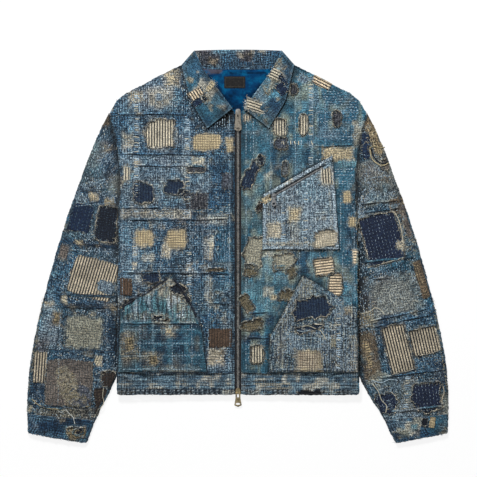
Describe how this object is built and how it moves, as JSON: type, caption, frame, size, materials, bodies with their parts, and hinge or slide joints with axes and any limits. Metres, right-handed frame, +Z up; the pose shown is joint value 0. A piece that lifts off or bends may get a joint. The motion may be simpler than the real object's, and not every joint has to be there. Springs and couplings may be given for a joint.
{
  "type": "patched boro jacket, laid flat",
  "caption": "Zip-front jacket of patched and running-stitched indigo cloth with collar, chest pocket and hand pockets, laid flat on its back.",
  "frame": {"origin": "centre of the laid-out jacket, on the surface it lies on", "axes": "+Y towards the collar, +X towards the wearer's left sleeve, +Z up from the surface, out of the front"},
  "size_m": [0.821, 0.768, 0.0186],
  "materials": {
    "brown_cloth": "matt, worn",
    "grey_cloth": "matt, faded",
    "indigo_cloth": "matt, quilted with running stitches",
    "label_cloth": "woven, bare",
    "lining_cloth": "plain cotton, bright indigo",
    "navy_cloth": "matt, dark indigo",
    "pocket_cloth": "matt, quilted with running stitches",
    "striped_cloth": "matt, woven stripes",
    "zip_metal": "antique brass, dull",
    "zip_tape": "woven tape"
  },
  "bodies": {
    "jacket": {"back": "indigo_cloth", "back_hem_band": "indigo_cloth", "chest_pocket": "pocket_cloth", "chest_slider": "zip_metal", "chest_zip_chain": "zip_metal", "chest_zip_tape": "zip_tape", "collar_back": "indigo_cloth", "collar_leaf_left": "indigo_cloth", "collar_leaf_right": "indigo_cloth", "cuff_left": "indigo_cloth", "cuff_right": "indigo_cloth", "front_left": "indigo_cloth", "front_left_hem_band": "indigo_cloth", "front_right": "indigo_cloth", "front_right_hem_band": "indigo_cloth", "hand_pocket_left": "pocket_cloth", "hand_pocket_right": "pocket_cloth", "neck_label": "label_cloth", "neck_lining": "lining_cloth", "patch_charcoal_square": "grey_cloth", "patch_grey_brown": "grey_cloth", "patch_grey_elbow": "grey_cloth", "patch_navy_bicep": "navy_cloth", "patch_navy_side": "navy_cloth", "patch_navy_upper": "navy_cloth", "patch_navy_wrist": "navy_cloth", "patch_rust_block": "brown_cloth", "patch_sage": "grey_cloth", "patch_sand_square": "striped_cloth", "patch_striped_bar": "striped_cloth", "patch_striped_breast": "striped_cloth", "patch_striped_elbow": "striped_cloth", "patch_striped_forearm": "striped_cloth", "patch_striped_outer": "striped_cloth", "sleeve_left": "indigo_cloth", "sleeve_right": "indigo_cloth", "zip_chain": "zip_metal", "zip_slider_low": "zip_metal", "zip_slider_top": "zip_metal", "zip_tape_left": "zip_tape", "zip_tape_right": "zip_tape"},
    "top_pull_tab": {"zip_pull_top": "zip_metal"},
    "low_pull_tab": {"zip_pull_low": "zip_metal"},
    "chest_pull_tab": {"chest_pull": "zip_metal"}
  },
  "joints": [
    {"name": "top_pull_hinge", "type": "hinge", "parent": "jacket", "child": "top_pull_tab", "pos_m": [0, 0.262, 0.01085], "axis": [-1, 0, 0], "range_deg": [0, 170]},
    {"name": "low_pull_hinge", "type": "hinge", "parent": "jacket", "child": "low_pull_tab", "pos_m": [0, -0.2857, 0.01085], "axis": [-1, 0, 0], "range_deg": [0, 170]},
    {"name": "chest_pull_hinge", "type": "hinge", "parent": "jacket", "child": "chest_pull_tab", "pos_m": [0.06987, 0.099, 0.0142], "axis": [-1, 0, 0], "range_deg": [0, 170]}
  ]
}
